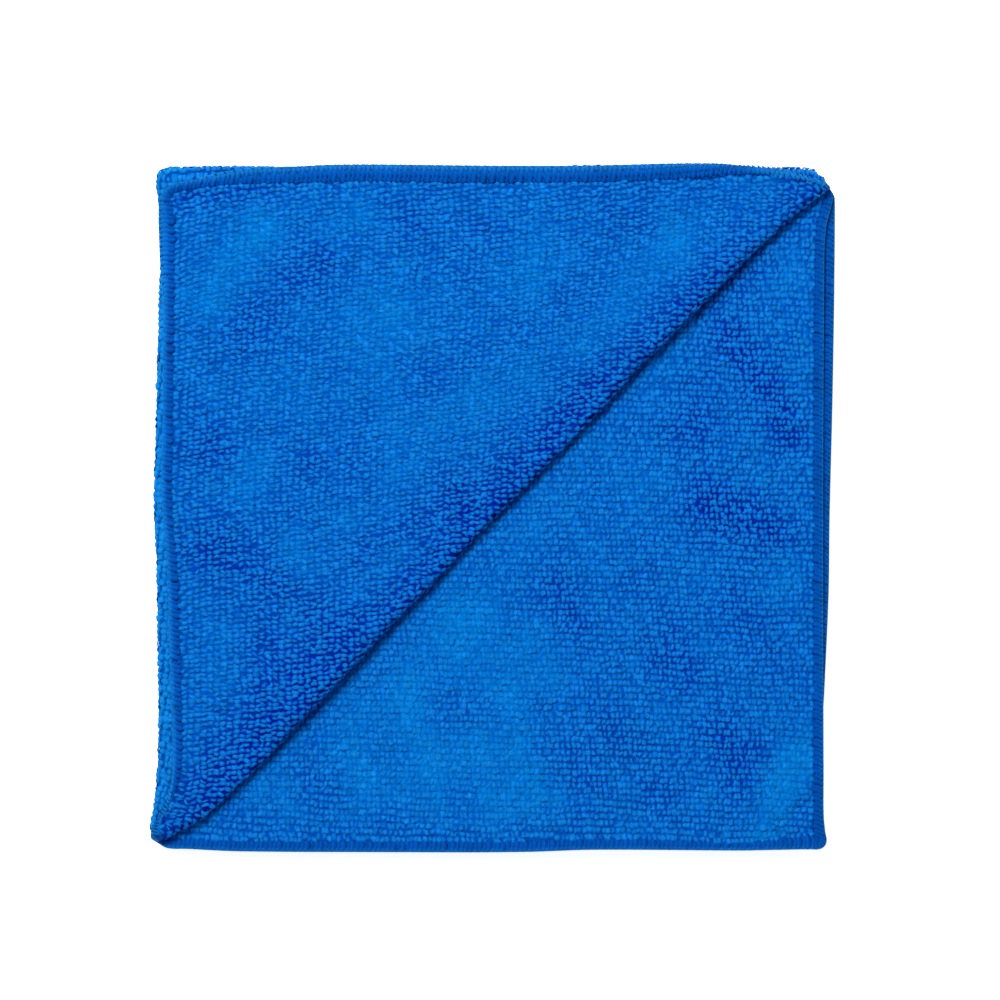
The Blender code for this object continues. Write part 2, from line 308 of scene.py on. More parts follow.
def waves(x, y, length, rng, count=14):
    # gentle unevenness of about this wavelength, from -1 to 1
    total = np.zeros_like(x)
    for n in range(count):
        turn = rng.uniform(0, 2 * math.pi)
        size = length * rng.uniform(0.7, 1.6)
        phase = rng.uniform(0, 2 * math.pi)
        total += np.cos((x * math.cos(turn) + y * math.sin(turn)) * 2 * math.pi / size + phase)
    return total / math.sqrt(count / 2) / 2


def makeMesh(name, points, quads, material, marks=None, uvs=None):
    mesh = bpy.data.meshes.new(name)
    mesh.vertices.add(len(points))
    mesh.vertices.foreach_set("co", np.ascontiguousarray(points, np.float32).ravel())
    mesh.loops.add(quads.size)
    mesh.loops.foreach_set("vertex_index", quads.ravel().astype(np.int32))
    mesh.polygons.add(len(quads))
    mesh.polygons.foreach_set("loop_start", np.arange(0, quads.size, quads.shape[1], dtype=np.int32))
    for key, values in (marks or {}).items():
        mark = mesh.attributes.new(key, "FLOAT", "POINT")
        mark.data.foreach_set("value", np.ascontiguousarray(values, np.float32))
    if uvs is not None:
        layer = mesh.uv_layers.new(name="flat")
        layer.data.foreach_set("uv", uvs[quads.ravel()].astype(np.float32).ravel())
    mesh.update(calc_edges=True)
    mesh.validate()
    mesh.shade_smooth()
    mesh.materials.append(material)
    piece = bpy.data.objects.new(name, mesh)
    bpy.context.scene.collection.objects.link(piece)
    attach(piece, "root")
    return piece


# Finishes

pileFinish = {
    "top": (0.005, 0.191, 0.620),       # painted highlight, where a loop's top catches the light
    "flatNapTop": (0.008, 0.241, 0.645),      # the same painted highlight where the nap lies flat and is painted lighter
    "root": (0.0, 0.036, 0.410),        # painted shade down between the loops
    # painted shade between the loops, lighter where the nap lies flat
    "flatNapRoot": (0.0, 0.172, 0.556),
    "rootTo": 0.25,                     # share of a loop's height that has the root's painted shade
    "mottleSize": 0.42,                 # millimetres
    "mottle": (0.82, 1.18),             # how dark and light the small patches are
    "loopTone": (0.87, 1.13),           # the same from loop to loop
    "strandTone": (0.84, 1.16),         # and from strand to strand
    "strandStretch": (1.5, 0.7),        # across a loop and along it
    "strandScale": 1.6,
    "strandShift": (0, 60),             # in the noise, from loop to loop
    "strandDepth": 0.17,                # millimetres
    "fibreSize": 0.24,
    "fibreDepth": 0.12,
    "bump": 0.8,
    "roughness": (0.8, 1.0),
    "specular": 0.05,
    "specularTint": (0.1, 0.6, 1.0),
    "sheen": 0.22,
    "sheenRoughness": 0.45,
    "sheenTint": (0.02, 0.45, 1.0),
}

groundFinish = {
    "openNapShade": (0.0, 0.014, 0.290),        # painted shade between the loops, darkest where the nap stands open and beside the diagonal
    # the same painted shade, lighter where the nap lies flat
    "flatNapLight": (0.0, 0.140, 0.550),
    "courses": 214,                     # rows of the knit over the side
    "wales": 278,
    "wander": 0.6,                      # of those rows
    "knitDepth": 0.3,                   # millimetres
    "fuzzSize": 0.35,
    "fuzzDepth": 0.25,
    "fuzzTone": (0.6, 1.4),
    "bump": 0.8,
    "roughness": 0.9,
    "specular": 0.03,
}

threadFinish = {
    "colour": (0.002, 0.104, 0.475),
    # painted shade in the grooves of the twist, and on the ground between the strands of the hem
    "paintedShade": (0.0, 0.074, 0.400),
    # painted highlight where the strands go round the edge
    "edge": (0.010, 0.240, 0.680),
    "twistScale": 9,                    # about 14 twists along a strand
    "twistWander": 0.5,
    "twistDepth": 0.06,                 # millimetres
    "fuzzSize": 0.12,
    "fuzzDepth": 0.04,
    "patchSize": 9,
    "patchTone": (0.9, 1.12),
    "bump": 0.7,
    "roughness": 0.62,
    "specular": 0.04,
    "specularTint": (0.1, 0.6, 1.0),
    "sheen": 0.02,
    "sheenRoughness": 0.5,
    "sheenTint": (0.02, 0.5, 1.0),
}

noiseSpread = (0.3, 0.7)                # most of a noise lies between these


def newMaterial(name):
    material = bpy.data.materials.new(name)
    material.use_nodes = True
    tree = material.node_tree
    return material, tree, tree.nodes["Principled BSDF"]


def setSockets(tree, node, values):
    # each socket gets a value of its own, or a link from another node
    for key, value in values.items():
        socket = node.inputs[key]
        if isinstance(value, bpy.types.NodeSocket):
            tree.links.new(value, socket)
        elif socket.type == "RGBA":
            socket.default_value = (*value, 1)
        else:
            socket.default_value = value


def addNode(tree, kind, values, **settings):
    node = tree.nodes.new("ShaderNode" + kind)
    for key, value in settings.items():
        setattr(node, key, value)
    setSockets(tree, node, values)
    return node


def mixColours(tree, share, low, high):
    mix = addNode(tree, "Mix", {"Factor": share, "A": low, "B": high}, data_type="RGBA")
    return mix.outputs["Result"]


def scaleValue(tree, value, old, new):
    ends = zip(("From Min", "From Max", "To Min", "To Max"), (*old, *new))
    return addNode(tree, "MapRange", {"Value": value, **dict(ends)}).outputs["Result"]


def multiply(tree, first, second):
    return addNode(tree, "Math", {0: first, 1: second}, operation="MULTIPLY").outputs[0]


def shadeBy(tree, colour, value):
    return addNode(tree, "HueSaturation", {"Value": value, "Color": colour}).outputs["Color"]


def markNode(tree, key):
    return addNode(tree, "Attribute", {}, attribute_name=key).outputs["Fac"]


def spotNode(tree, kind):
    return addNode(tree, "TexCoord", {}).outputs[kind]


def noiseNode(tree, size, detail):
    # noise with features of about this size, in millimetres
    values = {"Vector": spotNode(tree, "Object"), "Scale": 1 / (size * mm), "Detail": detail}
    return addNode(tree, "TexNoise", values).outputs["Fac"]


def strandNoise(tree, tone):
    # fibres along each loop, different from loop to loop
    stretch = {"Vector": spotNode(tree, "UV"), "Scale": (*pileFinish["strandStretch"], 1)}
    values = {
        "Vector": addNode(tree, "Mapping", stretch).outputs["Vector"],
        "W": scaleValue(tree, tone, (-1, 1), pileFinish["strandShift"]),
        "Scale": pileFinish["strandScale"],
        "Detail": 3,
    }
    return addNode(tree, "TexNoise", values, noise_dimensions="4D").outputs["Fac"]


def addRelief(tree, shader, finish, *layers):
    # bumps of the finish's depths, each on the one before it
    relief = {}
    for height, key in layers:
        values = {"Height": height, "Distance": finish[key] * mm, "Strength": finish["bump"], **relief}
        relief = {"Normal": addNode(tree, "Bump", values).outputs["Normal"]}
    setSockets(tree, shader, relief)


def glossOf(finish):
    return {
        "Specular IOR Level": finish["specular"],
        "Specular Tint": finish["specularTint"],
        "Sheen Weight": finish["sheen"],
        "Sheen Roughness": finish["sheenRoughness"],
        "Sheen Tint": finish["sheenTint"],
    }


def makePileMaterial():
    material, tree, shader = newMaterial("loopPile")
    tone = markNode(tree, "tone")
    flatNapLight = markNode(tree, "flatNapLight")
    # each loop is painted darker down to its root, painted shade, and lighter at its top, a painted
    # highlight
    lit = mixColours(tree, flatNapLight, pileFinish["top"], pileFinish["flatNapTop"])
    paintedShade = mixColours(tree, flatNapLight, pileFinish["root"], pileFinish["flatNapRoot"])
    risen = scaleValue(tree, markNode(tree, "depth"), (pileFinish["rootTo"], 1), (0, 1))
    patches = noiseNode(tree, pileFinish["mottleSize"], 3)
    strands = strandNoise(tree, tone)
    fibre = noiseNode(tree, pileFinish["fibreSize"], 3)
    shade = scaleValue(tree, tone, (-1, 1), pileFinish["loopTone"])
    shade = multiply(tree, shade, scaleValue(tree, patches, noiseSpread, pileFinish["mottle"]))
    shade = multiply(tree, shade, scaleValue(tree, strands, noiseSpread, pileFinish["strandTone"]))
    setSockets(tree, shader, {
        "Base Color": shadeBy(tree, mixColours(tree, risen, paintedShade, lit), shade),
        "Roughness": scaleValue(tree, fibre, noiseSpread, pileFinish["roughness"]),
        **glossOf(pileFinish),
    })
    addRelief(tree, shader, pileFinish, (strands, "strandDepth"), (fibre, "fibreDepth"))
    return material


def makeGroundMaterial():
    material, tree, shader = newMaterial("knitGround")
    rows = []
    for direction, count in (("X", groundFinish["wales"]), ("Y", groundFinish["courses"])):
        values = {
            "Vector": spotNode(tree, "UV"),
            "Scale": count / 20 * math.pi,      # two rows to a wave
            "Distortion": groundFinish["wander"],
            "Detail": 1,
        }
        rows.append(addNode(tree, "TexWave", values, bands_direction=direction).outputs["Fac"])
    knit = multiply(tree, *rows)
    fuzz = noiseNode(tree, groundFinish["fuzzSize"], 4)
    # painted shade between the loops, lighter where the nap lies flat
    colour = mixColours(tree, markNode(tree, "flatNapLight"), groundFinish["openNapShade"], groundFinish["flatNapLight"])
    colour = shadeBy(tree, colour, scaleValue(tree, fuzz, noiseSpread, groundFinish["fuzzTone"]))
    setSockets(tree, shader, {
        # under the hem the ground takes the threads' painted shade
        "Base Color": mixColours(tree, markNode(tree, "hem"), colour, threadFinish["paintedShade"]),
        "Roughness": groundFinish["roughness"],
        "Specular IOR Level": groundFinish["specular"],
    })
    addRelief(tree, shader, groundFinish, (knit, "knitDepth"), (fuzz, "fuzzDepth"))
    return material


def makeThreadMaterial():
    material, tree, shader = newMaterial("overlockThread")
    values = {
        "Vector": spotNode(tree, "UV"),
        "Scale": threadFinish["twistScale"],
        "Distortion": threadFinish["twistWander"],
    }
    twist = addNode(tree, "TexWave", values, bands_direction="DIAGONAL").outputs["Fac"]
    fuzz = noiseNode(tree, threadFinish["fuzzSize"], 3)
    patches = noiseNode(tree, threadFinish["patchSize"], 2)
    # painted shade in the grooves of the twist
    colour = mixColours(tree, twist, threadFinish["paintedShade"], threadFinish["colour"])
    # painted highlight along the edge
    colour = mixColours(tree, markNode(tree, "edge"), colour, threadFinish["edge"])
    shade = scaleValue(tree, patches, noiseSpread, threadFinish["patchTone"])
    setSockets(tree, shader, {
        "Base Color": shadeBy(tree, colour, shade),
        "Roughness": threadFinish["roughness"],
        **glossOf(threadFinish),
    })
    addRelief(tree, shader, threadFinish, (twist, "twistDepth"), (fuzz, "fuzzDepth"))
    return material


pileMaterial = makePileMaterial()
groundMaterial = makeGroundMaterial()
threadMaterial = makeThreadMaterial()
print("finishes made")


# Streaks where the nap lies flat and is painted lighter (over zero) or stands open and is painted darker,
# from one end to the other on the folded cloth; the dark ones along the diagonal near its front left end,
# and the short one beside its back right end on the layer below, are painted shade of the fold
cornerStreaks = {
    "x": (32, 53, 107, 127, 63, 38, 72, 25, 56, 40, 19, 72,
          5, 48, 72, 97, 136, 152, 81, 16, 43, 16, 45, 34, 89, 13, 51, 155),
    "y": (19, 17, 32, 54, 51, 64, 80, 93, 105, 115, 140, 114,
          9, 29, 17, 19, 16, 9, 64, 82, 89, 113, 128, 142, 93, 178, 138, 22),
    "toX": (16, 60, 114, 151, 72, 34, 105, 30, 60, 44, 20, 60,
            34, 25, 78, 101, 141, 158, 86, 20, 47, 34, 48, 30, 63, 50, 93, 180),
    "toY": (39, 15, 28, 26, 46, 68, 62, 88, 102, 118, 150, 124,
            9, 51, 15, 19, 18, 9, 60, 86, 86, 121, 131, 146, 114, 138, 93, 10),
    "width": (6, 6, 9, 8, 12, 6, 8, 6, 5, 5, 6, 4,
              4, 5, 6, 5, 6, 5, 6, 6, 5, 7, 6, 8, 4, 8, 5, 12),
    "amount": (1.0, 0.5, 0.6, 0.6, 0.7, 0.5, 0.6, 0.5, 0.5, 0.5, 0.6, 0.6,
               -0.6, -0.6, -0.5, -0.5, -0.5, -0.5, -0.5, -0.6, -0.6, -0.9, -0.3, -0.6, -0.5, -0.35,
               -0.15, 0.6),
}
frontStreaks = {
    "x": (89, 107, 113, 89, 98, 66, 113, 32, 111, 137, 184, 181, 190,
          168, 155, 161, 170, 118, 151, 95, 135, 121, 171, 162, 170, 145, 47, 66, 101, 163,
          54, 74, 104, 174),
    "y": (134, 140, 149, 174, 184, 181, 182, 184, 107, 96, 36, 123, 175,
          50, 76, 98, 130, 124, 145, 161, 167, 178, 175, 165, 188, 184, 181, 168, 168, 40,
          150, 152, 150, 190),
    "toX": (94, 110, 116, 93, 100, 70, 118, 40, 118, 142, 187, 184, 178,
            187, 158, 180, 173, 123, 156, 100, 139, 125, 174, 165, 174, 149, 52, 84, 95, 175,
            60, 84, 110, 191),
    "toY": (130, 138, 150, 170, 188, 184, 185, 187, 102, 90, 28, 118, 196,
            79, 78, 108, 134, 134, 148, 164, 170, 181, 172, 167, 190, 187, 184, 139, 139, 27,
            186, 190, 190, 168),
    "width": (8, 6, 6, 8, 6, 6, 6, 7, 7, 7, 5, 6, 4,
              5, 7, 7, 7, 5, 7, 6, 6, 6, 7, 5, 5, 5, 5, 14, 10, 4,
              5, 5, 5, 5),
    "amount": (0.6, 0.6, 0.6, 0.9, 0.9, 0.5, 0.5, 0.5, 0.5, 0.5, 0.5, 0.5, 0.8,
               -1.3, -0.7, -1.2, -0.6, -0.7, -0.6, -0.5, -0.5, -0.5, -0.8, -0.6, -0.5, -0.4, -0.5, 0.45,
               0.35, -0.7, 0.6, 0.6, 0.6, 0.9),
}


# Patches that lie everywhere, between the streaks too, painted lighter and darker where the nap lies flatter
# or stands taller
napPatches = {"length": (24, 9), "amount": (0.20, 0.16)}


def napAndShadeAt(x, y, streaks, seed):
    # how far the nap is brushed, 1 flat and painted lighter, -1 open and painted darker; some dark streaks
    # paint the fold's shade
    rng = np.random.default_rng(seed)
    value = np.zeros_like(x)
    for length, amount in zip(*napPatches.values()):
        value += waves(x, y, length, rng) * amount
    for fromX, fromY, toX, toY, width, amount in zip(*streaks.values()):
        go = np.array([toX - fromX, toY - fromY], float)
        share = ((x - fromX) * go[0] + (y - fromY) * go[1]) / (go @ go)
        share = np.clip(share, 0, 1)
        value += amount * fade(np.hypot(x - fromX - share * go[0], y - fromY - share * go[1]), width)
    return value


def planOf(across, along, lift):
    # place on the folded cloth, seen from above, from its back left corner
    points = foldCloth(across, along, np.full_like(across, lift))
    return points[:, 0], -points[:, 1]


# Painted shade in a band beside the diagonal on the turned corner, where its loops also stand taller
foldShade = {
    "margin": 3.0,              # the corner's streaks go on this far before the bend
    "from": 4.0,                # the painted shade is darkest up to here, past the diagonal
    "depth": 0.95,
    "narrow": 8.0,              # it fades in this length
    "wide": 13.0,               # or in this one near the places of wideAt
    "wideAt": (38, 150),
    "wideReach": 30.0,
}


def napAndShadeOn(across, along):
    # the same from a place on the flat cloth, with painted shade beside the diagonal on the turned corner
    x, y = planOf(across, along, -skin)
    _, past, start, _ = bendAt(across, along)
    onCorner = (past > start - foldShade["margin"]) & (across < 1) & (along > -1)
    reach = np.full_like(x, foldShade["narrow"])
    for at in foldShade["wideAt"]:
        reach = reach + (foldShade["wide"] - foldShade["narrow"]) * fade(x - at, foldShade["wideReach"])
    # painted shade beside the diagonal
    shadeBand = foldShade["depth"] * fade(np.maximum(past - foldShade["from"], 0), reach)
    corner = napAndShadeAt(x, y, cornerStreaks, 7) - shadeBand
    return np.where(onCorner, corner, napAndShadeAt(x, y, frontStreaks, 8))


# The knitted ground, one sheet through all the layers

groundSheet = {
    "cells": 80,
    "hemAt": (0.0, 0.3, 1.1, 2.4, 3.3, 3.9),            # from the hemmed edge
    "hemHalf": (0.25, 0.48, 0.72, 0.76, 0.58, 0.38),    # half the thickness there, last for the rest
    "hemTo": 3.4,               # the hem's colour, the threads' painted shade, ends here
    "hemSoft": 0.4,
    "bendCuts": 10,
    "diagonal": (-4.0, 9.0, 0.65),      # first cut and last cut beside it, and the step
    "settleCuts": (11.0, 14.0, 18.0, 24.0),
    "mergeWithin": 0.12,
}


def cutAlong(sheet, faces, point, normal):
    edges = {edge for face in faces for edge in face.edges}
    verts = {vert for face in faces for vert in face.verts}
    bmesh.ops.bisect_plane(
        sheet, geom=list(faces) + list(edges) + list(verts), plane_co=point, plane_no=normal, dist=1e-4
    )


def cutGround():
    # flat square, cut into strips that can follow the folds and the hem
    sheet = bmesh.new()
    bmesh.ops.create_grid(sheet, x_segments=groundSheet["cells"], y_segments=groundSheet["cells"], size=half)
    hemLines = [half - at for at in groundSheet["hemAt"][1:]] + [half - cloth["cornerRadius"]]
    cuts = groundSheet["bendCuts"]
    for radius, normal in ((leftBend, (1, 0, 0)), (backBend, (0, 1, 0))):
        quarter = radius * math.pi / 2
        bendLines = [quarter * (2 * n / cuts - 1) for n in range(cuts + 1)]
        for line in hemLines + [-line for line in hemLines] + bendLines:
            cutAlong(sheet, sheet.faces, Vector(normal) * line, normal)
    first, last, step = groundSheet["diagonal"]
    lines = [first + n * step for n in range(round((last - first) / step) + 1)]
    for past in lines + list(groundSheet["settleCuts"]):
        middle = half / 2 + past / root2
        near = [
            face for face in sheet.faces
            if face.calc_center_median().x < 0 < face.calc_center_median().y
        ]
        cutAlong(sheet, near, (-middle, middle, 0), (-1, 1, 0))
    bmesh.ops.remove_doubles(sheet, verts=sheet.verts, dist=groundSheet["mergeWithin"])
    bmesh.ops.triangulate(sheet, faces=sheet.faces)
    return sheet


def roundCorners(across, along):
    # brings the four square corners in to their rounding
    radius = cloth["cornerRadius"]
    inner = half - radius
    u = np.maximum(np.abs(across) - inner, 0) / radius
    v = np.maximum(np.abs(along) - inner, 0) / radius
    inCorner = (u > 0) & (v > 0)
    shrink = np.where(inCorner, np.maximum(u, v) / np.maximum(np.hypot(u, v), 1e-9), 1)
    return (
        np.where(inCorner, np.sign(across) * (inner + radius * u * shrink), across),
        np.where(inCorner, np.sign(along) * (inner + radius * v * shrink), along),
    )


def makeGround():
    sheet = cutGround()
    flat = np.array([vert.co[:2] for vert in sheet.verts])
    across, along = roundCorners(flat[:, 0], flat[:, 1])
    depth = np.interp(hemDistance(across, along), groundSheet["hemAt"], groundSheet["hemHalf"])
    faces = np.array([[vert.index for vert in face.verts] for face in sheet.faces])
    loops = [edge.link_loops[0] for edge in sheet.edges if edge.is_boundary]
    rim = np.array([[loop.vert.index, loop.link_loop_next.vert.index] for loop in loops])
    sheet.free()
    count = len(across)
    points = np.concatenate([place(across, along, -depth), place(across, along, depth)])
    sides = np.concatenate([
        np.stack([rim[:, 1], rim[:, 0], rim[:, 0] + count], axis=1),
        np.stack([rim[:, 1], rim[:, 0] + count, rim[:, 1] + count], axis=1),
    ])
    triangles = np.concatenate([faces, faces[:, ::-1] + count, sides])
    spread = np.stack([across, along], axis=1) / cloth["side"] + 0.5
    hem = 1 - smoothStep((hemDistance(across, along) - groundSheet["hemTo"]) / groundSheet["hemSoft"])
    # share painted lighter where the nap lies flat, darker where it stands open and in the fold's painted
    # shade
    flatNapLight = np.clip(0.5 + 0.5 * napAndShadeOn(across, along), 0, 1)
    marks = {"hem": np.tile(hem, 2), "flatNapLight": np.tile(flatNapLight, 2)}
    piece = makeMesh("clothGround", points, triangles, groundMaterial, marks, np.tile(spread, (2, 1)))
    shell = bmesh.new()
    shell.from_mesh(piece.data)
    bmesh.ops.recalc_face_normals(shell, faces=shell.faces)
    shell.to_mesh(piece.data)
    shell.free()
    return piece


ground = makeGround()
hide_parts("cloth")
print("ground sheet:", len(ground.data.polygons), "triangles")


# The looped pile

pileGrid = {
    "acrossPitch": 1.44,        # between wales
    "alongPitch": 1.87,         # between courses
    "wales": 320,               # to each side of the middle
    "courses": 260,
    "acrossSkew": 0.10,
    "alongSkew": 0.03,
    "margin": 6,
    "wander": 0.24,             # how far rows stray
    "wanderLength": 16.0,
    "hemWander": 1.2,           # how much more they stray near the hem
    "hemWanderReach": 14.0,
    "jitter": 0.14,
    "hemClear": 2.8,            # the pile stops short of the hem's edge by this
    "hemRow": 3.6,              # the loops nearest the hem stand in a row
    "hemRowTo": 4.4,
    "hemRowPull": (0.8, 0.2),   # shares of that row and of a loop's own place
}


def within(across, along, acrossRange, alongRange, margin=0):
    return (
        (across > acrossRange[0] - margin) & (across < acrossRange[1] + margin)
        & (along > alongRange[0] - margin) & (along < alongRange[1] + margin)
    )


def loopSpots(acrossRange, alongRange, seed):
    # places of the loops on the flat cloth, in wales and courses that stray a little
    rng = np.random.default_rng(seed)
    wale = np.arange(-pileGrid["wales"], pileGrid["wales"] + 1)
    course = np.arange(-pileGrid["courses"], pileGrid["courses"] + 1)
    wale, course = np.meshgrid(wale, course)
    baseAcross = wale * pileGrid["acrossPitch"]
    baseAlong = course * pileGrid["alongPitch"]
    across = baseAcross + pileGrid["acrossSkew"] * baseAlong
    along = baseAlong + pileGrid["alongSkew"] * baseAcross
    keep = within(across, along, acrossRange, alongRange, pileGrid["margin"])
    across, along = across[keep], along[keep]
    strayRng = np.random.default_rng(11)    # the same for every piece, so that their rows meet
    strayAcross = waves(across, along, pileGrid["wanderLength"], strayRng)
    strayAlong = waves(across, along, pileGrid["wanderLength"], strayRng)
    nearHem = 1 + pileGrid["hemWander"] * fade(hemDistance(across, along), pileGrid["hemWanderReach"])
    wander = pileGrid["wander"] * nearHem
    across = across + wander * strayAcross + rng.normal(0, pileGrid["jitter"], len(across))
    along = along + wander * strayAlong + rng.normal(0, pileGrid["jitter"], len(along))
    keep = within(across, along, acrossRange, alongRange)
    keep &= hemDistance(across, along) > pileGrid["hemClear"]
    return lineUpWithHem(across[keep], along[keep])


def lineUpWithHem(across, along):
    # loops next to the hem stand in a row along it
    lined = []
    share = hemShare(across, along)
    pull, own = pileGrid["hemRowPull"]
    for here, other in ((across, along), (along, across)):
        inside = (half - np.abs(here)) / share
        near = (inside < pileGrid["hemRowTo"]) & ((half - np.abs(other)) / share > inside)
        drawn = np.sign(here) * (half - share * (pull * pileGrid["hemRow"] + own * inside))
        lined.append(np.where(near, drawn, here))
    return lined[0], lined[1]


def framesAt(across, along, face, root):
    # base point of each loop with its three directions: across, along and out of the face
    step = 0.15
    base = place(across, along, face * root)
    out = place(across, along, face * (root + step)) - base
    out /= np.linalg.norm(out, axis=1, keepdims=True)
    ahead = place(across, along + step, face * root) - place(across, along - step, face * root)
    ahead -= out * (ahead * out).sum(1, keepdims=True)
    ahead /= np.maximum(np.linalg.norm(ahead, axis=1, keepdims=True), 1e-12)
    side = np.cross(ahead, out)
    return base, side, ahead, out


def spreadAt(across, along, face, height):
    # how far a bend spreads the loops apart, across and along
    spreads = []
    reach = 0.4
    for u, v in ((reach, 0), (0, reach)):
        gap = place(across + u, along + v, face * height) - place(across - u, along - v, face * height)
        spread = np.linalg.norm(gap, axis=1) / (2 * reach * mm)
        spreads.append(spread.clip(loopShape["stretchFrom"], loopShape["stretchTo"]))
    return spreads


loopShape = {
    "root": 0.36,               # the loop's foot is this far above the sheet's middle
    "height": 0.58,             # from there to the top
    "width": 0.68,              # half the width of its bundle of fibres
    "thick": 0.34,              # half the bundle's thickness
    "length": 0.82,             # half its size along
    "sizeSpread": 0.07,         # how unequal the loops are
    "sizeRange": (0.8, 1.25),
    "heightSpread": 0.16,
    "heightRange": (0.6, 1.25),
    "widthSpread": 0.12,
    "toneSpread": 0.45,
    "turn": 0.36,               # how far loops turn out of line
    "lean": 0.26,
    "bow": 0.15,                # how far a loop bends to one side
    "lumps": 0.13,
    "brushedLow": 0.38,         # brushed loops lie lower, wider and longer
    "brushedLowTo": 0.7,
    "brushedWide": 0.16,
    "brushedLong": 0.10,
    "brushMost": 1.2,
    "bendAt": (-1.75, -1.05, 0.0, 1.05, 1.75),      # stations along its arch
    "sectionOff": (-1.0, -0.58, 0.58, 1.0),         # the bundle's section, over its upper side
    "sectionUp": (-0.55, 0.80, 0.80, -0.55),
    "footThick": 0.3,           # share of the bundle's thickness that is left at its feet
    "stretchFrom": 0.85,        # where a bend spreads the loops apart, they grow within this range
    "stretchTo": 1.22,
    "stretchAt": 0.6,           # measured at this share of their height
    "offFloor": 0.02,
}


def loopFaces(stations, rails):
    faces = []
    for station in range(stations - 1):
        for rail in range(rails - 1):
            here = station * rails + rail
            there = here + rails
            faces += [(here, here + 1, there + 1), (here, there + 1, there)]
    return np.array(faces)


def loopPlan(low):
    # stations along a loop and rails over its section, fewer for the face that is hidden
    bends = loopShape["bendAt"]
    rails = list(zip(loopShape["sectionOff"], loopShape["sectionUp"]))
    if low:
        bends = (bends[0], 0.0, bends[-1])
        rails = [rails[0], (0.0, 1.0), rails[-1]]
    return bends, rails


def growLoops(name, across, along, face, napShade, seed, low=False, tall=1.0, wide=1.0):
    # each loop is a short bundle of fibres that arches over the ground
    rng = np.random.default_rng(seed)
    count = len(across)

    def vary(middle, key):
        return rng.normal(middle, loopShape[key], count)

    base, side, ahead, out = framesAt(across, along, face, loopShape["root"])
    napShade = np.clip(napShade, -loopShape["brushMost"], loopShape["brushMost"])
    size = vary(1, "sizeSpread").clip(*loopShape["sizeRange"])
    flattened = 1 - loopShape["brushedLow"] * np.minimum(napShade, loopShape["brushedLowTo"])
    height = tall * loopShape["height"] * flattened
    height *= vary(1, "heightSpread").clip(*loopShape["heightRange"])
    width = loopShape["width"] * size * (1 + loopShape["brushedWide"] * napShade)
    width *= vary(1, "widthSpread")
    length = loopShape["length"] * size * (1 + loopShape["brushedLong"] * napShade)
    length *= vary(1, "widthSpread")
    spreadHeight = loopShape["root"] + loopShape["height"] * loopShape["stretchAt"]
    wider, longer = spreadAt(across, along, face, spreadHeight)
    width *= wider * wide
    length *= longer / wide
    turn = vary(0, "turn")
    leanSide = vary(0, "lean")
    leanAhead = vary(0, "lean")
    bow = vary(0, "bow")
    cosTurn = np.cos(turn)[:, None]
    sinTurn = np.sin(turn)[:, None]
    ahead, side = ahead * cosTurn + side * sinTurn, side * cosTurn - ahead * sinTurn

    bends, rails = loopPlan(low)
    lowest = math.cos(bends[0])
    spots = [
        (bend, (math.cos(bend) - lowest) / (1 - lowest), off, up)
        for bend in bends for off, up in rails
    ]
    points = np.empty((count, len(spots), 3))
    depth = np.empty((count, len(spots)))
    uvs = np.empty((count, len(spots), 2))
    for n, (bend, rise, u, v) in enumerate(spots):
        lump = 1 + vary(0, "lumps")
        thick = loopShape["thick"] * v * lump
        off = width * u * lump + (leanSide * height + bow) * rise
        go = length * math.sin(bend) + leanAhead * rise * height + thick * math.sin(bend)
        up = (height - loopShape["thick"]) * rise + thick * max(math.cos(bend), loopShape["footThick"])
        points[:, n] = base + (side * off[:, None] + ahead * go[:, None] + out * up[:, None]) * mm
        depth[:, n] = np.clip(up / loopShape["height"], 0, 1)
        uvs[:, n] = (u, bend / bends[-1])
    faces = loopFaces(len(bends), len(rails))
    starts = np.arange(count) * len(spots)
    triangles = (faces[None] + starts[:, None, None]).reshape(-1, 3)
    # depth carries the painted shade and highlight up each loop
    marks = {
        "depth": depth.ravel(),
        "tone": np.repeat(vary(0, "toneSpread").clip(-1, 1), len(spots)),
        "flatNapLight": np.repeat(np.clip(0.5 + 0.5 * napShade, 0, 1), len(spots)),
    }
    points = points.reshape(-1, 3)
    points[:, 2] = np.maximum(points[:, 2], loopShape["offFloor"] * mm)
    piece = makeMesh(name, points, triangles, pileMaterial, marks, uvs.reshape(-1, 2))
    print(name + ":", count, "loops,", len(triangles), "triangles")
    return piece


pileAreas = {
    "bendMargin": 3.0,          # the corner's pile starts this far before its bend
    "underCorner": 7.0,         # the lower layer's pile goes on this far under the corner
    "cornerSplit": 1.48,        # the two pieces meet here, in halves of the side
    "frontSplit": 0.07,
    "frontWide": 1.12,
    "leftFold": (-8, 4),        # across, round the left fold
    "backFold": (-5, 12),       # along, round the back fold
    "underFrom": -4,            # the underside's own pile starts here, across
    "leftFoldLight": 0.8,           # the left fold is painted lighter, painted light on its rounded edge, and its loops lie flatter; the nap stands taller where the folds stretch it
    "leftTall": 1.5,
    # the back fold is painted a little lighter, and its loops lie flatter
    "backBrush": 0.3,
    "backTall": 1.2,
}


def growPart(name, across, along, keep, face, napShade, seed, **size):
    growLoops(name, across[keep], along[keep], face, napShade[keep], seed, **size)


def growTurnedCorner():
    # the turned corner shows the cloth's inner face, and so does the bend at the diagonal
    across, along = loopSpots((-half, 1), (-1, half), seed=21)
    _, past, start, _ = bendAt(across, along)
    napShade = napAndShadeOn(across, along)
    keep = past > start - pileAreas["bendMargin"]
    upper = along - across > pileAreas["cornerSplit"] * half
    growPart("cornerPileOuter", across, along, keep & upper, -1, napShade, 31)
    growPart("cornerPileFold", across, along, keep & ~upper, -1, napShade, 32)


